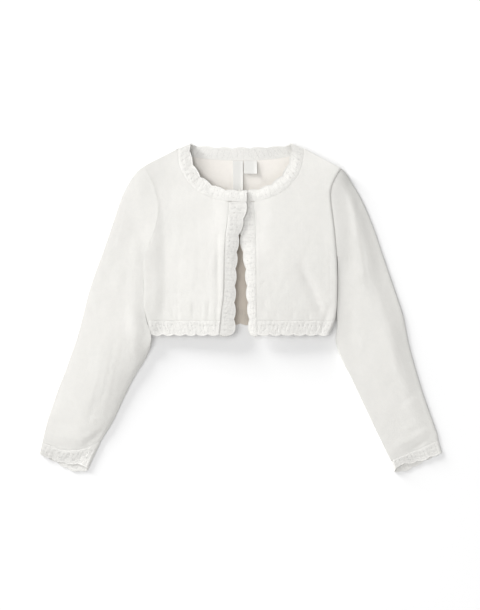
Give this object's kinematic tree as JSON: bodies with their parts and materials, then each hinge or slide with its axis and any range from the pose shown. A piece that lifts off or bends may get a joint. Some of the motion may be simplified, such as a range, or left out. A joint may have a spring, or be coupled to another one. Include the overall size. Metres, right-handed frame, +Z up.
{
  "type": "cardigan",
  "caption": "Child's cropped long-sleeved cardigan in fine pale knit with scalloped trims, laid flat on its back, open down the front, with its sleeves beside the body.",
  "frame": {"origin": "centre of the garment's box, on the surface that it lies on", "axes": "+X across the garment to its left sleeve, +Y from the hem to the neck, +Z up from the surface"},
  "size_m": [0.5432, 0.4434, 0.019],
  "materials": {
    "knit_cloth": "matt fine plain knit",
    "knit_trim": "matt openwork knit with a scalloped edge",
    "label_cloth": "smooth woven tape, plain"
  },
  "bodies": {
    "root": {"back": "knit_cloth", "front_right": "knit_cloth", "front_left": "knit_cloth", "sleeve_right": "knit_cloth", "sleeve_left": "knit_cloth", "neck_trim": "knit_trim", "edge_trim_right": "knit_trim", "edge_trim_left": "knit_trim", "hem_trim_right": "knit_trim", "hem_trim_left": "knit_trim", "hem_trim_back": "knit_trim", "cuff_trim_right": "knit_trim", "cuff_trim_left": "knit_trim", "main_label": "label_cloth", "size_tab": "label_cloth"}
  },
  "joints": []
}
